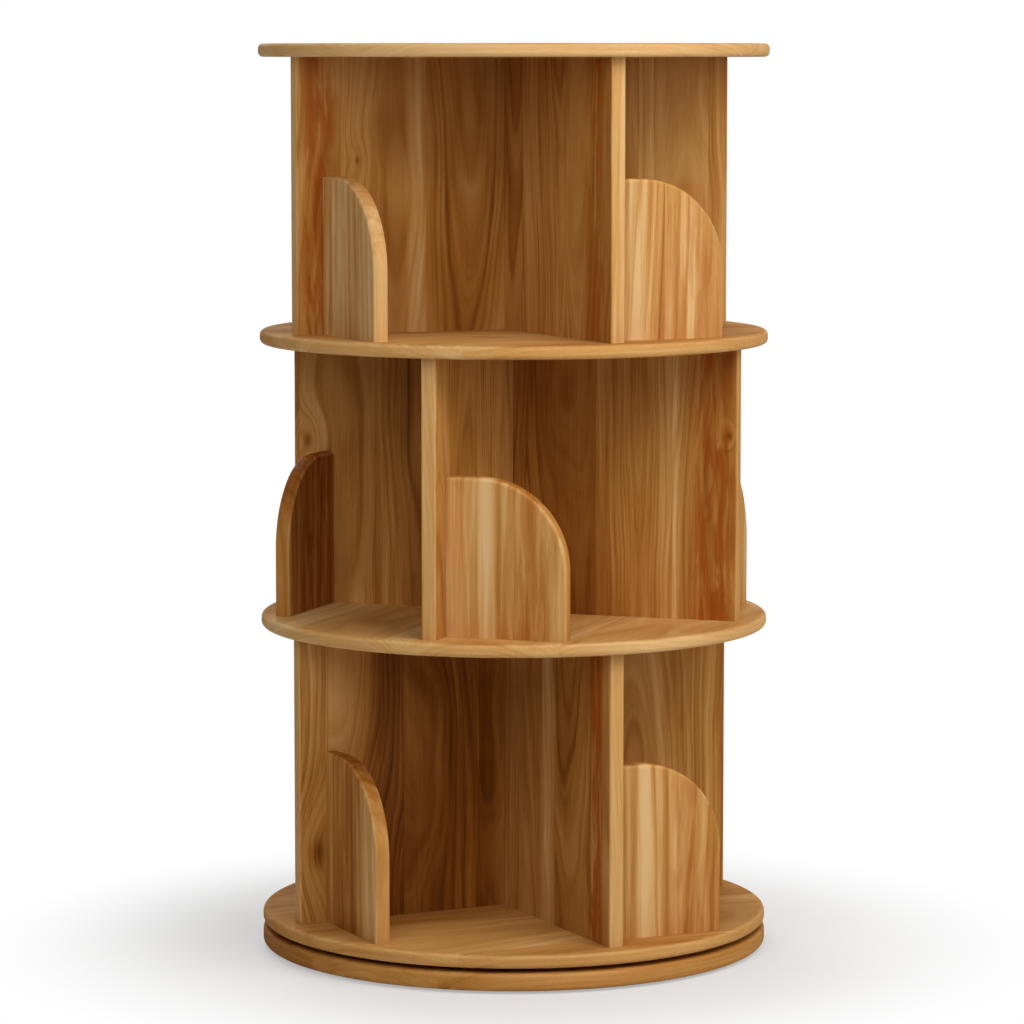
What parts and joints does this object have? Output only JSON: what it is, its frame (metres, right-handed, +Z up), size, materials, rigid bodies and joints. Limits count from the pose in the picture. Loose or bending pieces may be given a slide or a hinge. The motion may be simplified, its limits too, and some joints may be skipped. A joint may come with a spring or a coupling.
{
  "type": "revolving bookcase",
  "caption": "Round tiered wooden revolving bookcase: pinwheel panels with rounded book stops stand between discs that turn together on a ring bearing over a fixed base.",
  "frame": {"origin": "on the floor under the turning axis, at the centre of the base", "axes": "+Z up along the turning axis; +X and +Y along panels of the bottom and top tiers"},
  "size_m": [0.46, 0.46, 0.82],
  "materials": {
    "disc_wood": "satin clear lacquer over edge-glued honey-coloured solid wood",
    "panel_wood": "satin clear lacquer, upright grain",
    "stop_wood": "satin clear lacquer, upright grain",
    "bearing_rings": "turned, bare",
    "steel": "zinc plated",
    "rubber": "matt"
  },
  "bodies": {
    "base": {"base_disc": "disc_wood", "bearing_inner_ring": "bearing_rings", "inner_ring_screw_1": "steel", "inner_ring_screw_2": "steel", "inner_ring_screw_3": "steel", "inner_ring_screw_4": "steel", "foot_1": "rubber", "foot_2": "rubber", "foot_3": "rubber", "foot_4": "rubber", "foot_5": "rubber", "foot_6": "rubber"},
    "ball_cage": {"ball_cage": "steel"},
    "carousel": {"bearing_outer_ring": "bearing_rings", "outer_ring_screw_1": "steel", "outer_ring_screw_2": "steel", "outer_ring_screw_3": "steel", "outer_ring_screw_4": "steel", "bottom_tier_floor": "disc_wood", "middle_tier_floor": "disc_wood", "top_tier_floor": "disc_wood", "top_disc": "disc_wood", "bottom_panel_1": "panel_wood", "bottom_panel_2": "panel_wood", "bottom_panel_3": "panel_wood", "bottom_panel_4": "panel_wood", "middle_panel_1": "panel_wood", "middle_panel_2": "panel_wood", "middle_panel_3": "panel_wood", "middle_panel_4": "panel_wood", "top_panel_1": "panel_wood", "top_panel_2": "panel_wood", "top_panel_3": "panel_wood", "top_panel_4": "panel_wood", "bottom_book_stop_1": "stop_wood", "bottom_book_stop_2": "stop_wood", "bottom_book_stop_3": "stop_wood", "bottom_book_stop_4": "stop_wood", "middle_book_stop_1": "stop_wood", "middle_book_stop_2": "stop_wood", "middle_book_stop_3": "stop_wood", "middle_book_stop_4": "stop_wood", "top_book_stop_1": "stop_wood", "top_book_stop_2": "stop_wood", "top_book_stop_3": "stop_wood", "top_book_stop_4": "stop_wood", "bottom_panel_screw_1": "steel", "bottom_panel_screw_2": "steel", "bottom_panel_screw_3": "steel", "bottom_panel_screw_4": "steel", "middle_panel_screw_1": "steel", "middle_panel_screw_2": "steel", "middle_panel_screw_3": "steel", "middle_panel_screw_4": "steel", "top_panel_screw_1": "steel", "top_panel_screw_2": "steel", "top_panel_screw_3": "steel", "top_panel_screw_4": "steel"}
  },
  "joints": [
    {"name": "revolve", "type": "hinge", "parent": "base", "child": "carousel", "pos_m": [0, 0, 0.018], "axis": [0, 0, 1], "continuous": true},
    {"name": "cage_roll", "type": "hinge", "parent": "base", "child": "ball_cage", "pos_m": [0, 0, 0.018], "axis": [0, 0, 1], "continuous": true}
  ],
  "couplings": [
    {"joint": "cage_roll", "follows": "revolve", "ratio": 0.51125}
  ]
}
